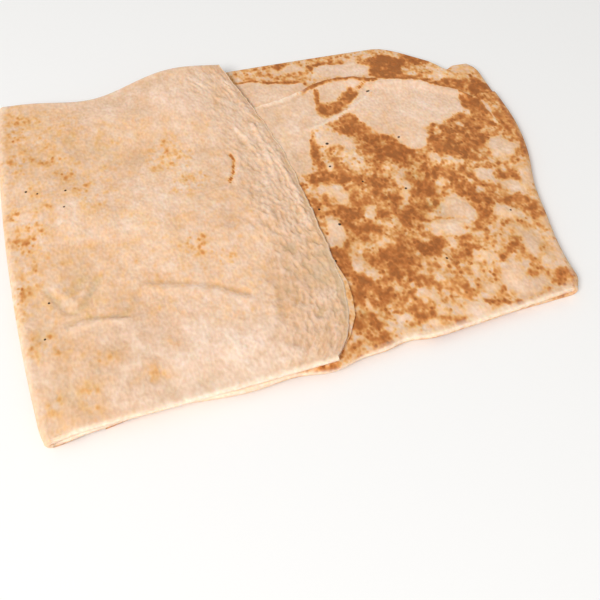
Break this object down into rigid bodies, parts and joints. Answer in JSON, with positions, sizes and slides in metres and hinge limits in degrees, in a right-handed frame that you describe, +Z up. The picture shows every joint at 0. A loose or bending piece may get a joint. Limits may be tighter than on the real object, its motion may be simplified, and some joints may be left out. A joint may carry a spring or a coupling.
{
  "type": "folded markook flatbread",
  "caption": "Thin round sheet of saj-baked flatbread folded in thirds both ways into a flat packet, with one end turned over the top as a flap.",
  "frame": {"origin": "middle of the packet's outline, on the surface that it lies on", "axes": "+X along the front fold towards the right fold, +Y from the front fold to the back, +Z up"},
  "size_m": [0.2616, 0.202, 0.0137],
  "materials": {
    "bread": "matte baked dough with toasted brown patches"
  },
  "bodies": {
    "root": {"bread": "bread"}
  },
  "joints": []
}
